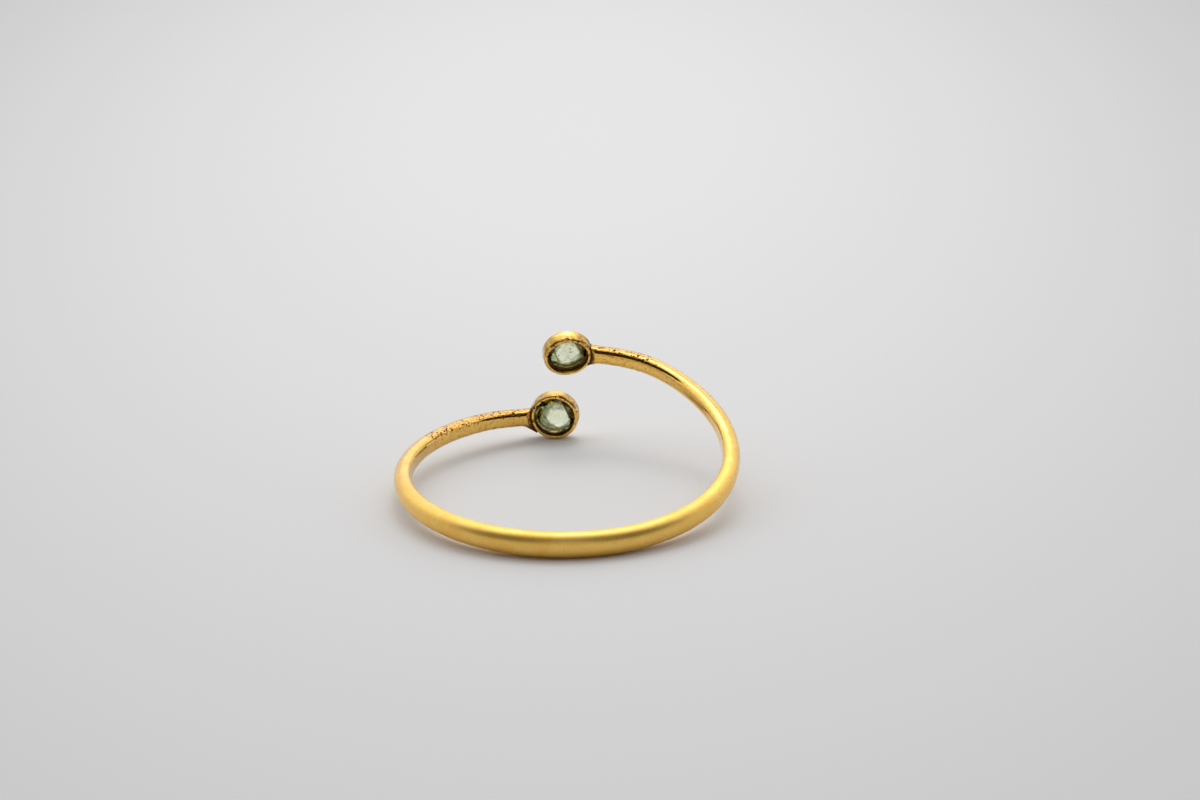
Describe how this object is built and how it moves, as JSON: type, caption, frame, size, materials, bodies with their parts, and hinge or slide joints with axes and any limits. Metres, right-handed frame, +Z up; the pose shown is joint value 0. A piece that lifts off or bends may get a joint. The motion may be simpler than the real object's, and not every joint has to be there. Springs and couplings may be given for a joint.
{
  "type": "open bypass ring with two bezel-set stones",
  "caption": "Open wrap ring for a finger: a slim gilt half-round band whose arms pass one above the other, each ending in a round open-backed bezel with a pale green stone.",
  "frame": {"origin": "middle of the bounding box's base, on the surface that the ring lies on", "axes": "+Z up from that surface, +Y towards the stones, -Y towards the back of the band; the finger hole's axis leans from +Z by the angle at which the ring rests by itself"},
  "size_m": [0.0194, 0.0196, 0.0068],
  "materials": {
    "gold": "worn polished gilding with fine scratches, small pits near the solder joints and dark tarnish in the crevices",
    "stone": "clear pale green, round brilliant cut, polished"
  },
  "bodies": {
    "root": {"band_and_bezels": "gold", "upper_stone": "stone", "lower_stone": "stone"}
  },
  "joints": []
}
